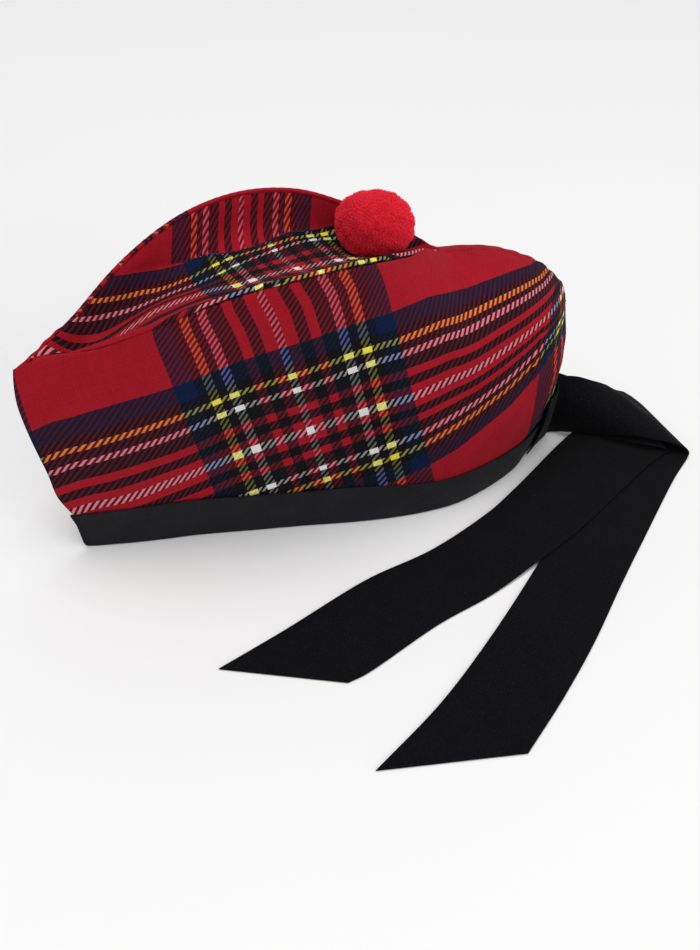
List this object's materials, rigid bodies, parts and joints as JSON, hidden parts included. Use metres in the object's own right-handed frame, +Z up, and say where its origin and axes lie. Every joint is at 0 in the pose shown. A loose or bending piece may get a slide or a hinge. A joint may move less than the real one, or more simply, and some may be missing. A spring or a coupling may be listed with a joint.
{
  "type": "glengarry cap",
  "caption": "Glengarry cap of red tartan with a pressed crown between sewn ridges, a ribbon-bound rim, a red wool pompom and black ribbon tails that lie behind it.",
  "frame": {"origin": "middle of the head opening, in the plane of the rim that the cap rests on", "axes": "+X to the back of the cap, -Y to the wearer's left, +Z up"},
  "size_m": [0.3447, 0.2488, 0.1619],
  "materials": {
    "tartan_side": "wool twill in a red tartan",
    "tartan_crown": "wool twill in a red tartan",
    "binding": "ribbed grosgrain ribbon",
    "wool": "cut wool pile",
    "ribbon": "ribbed grosgrain ribbon"
  },
  "bodies": {
    "root": {"side_panel_left": "tartan_side", "side_panel_right": "tartan_side", "top_panel": "tartan_crown", "rim_band": "binding", "toorie": "wool", "ribbon_tail_upper": "ribbon", "ribbon_tail_lower": "ribbon"}
  },
  "joints": []
}
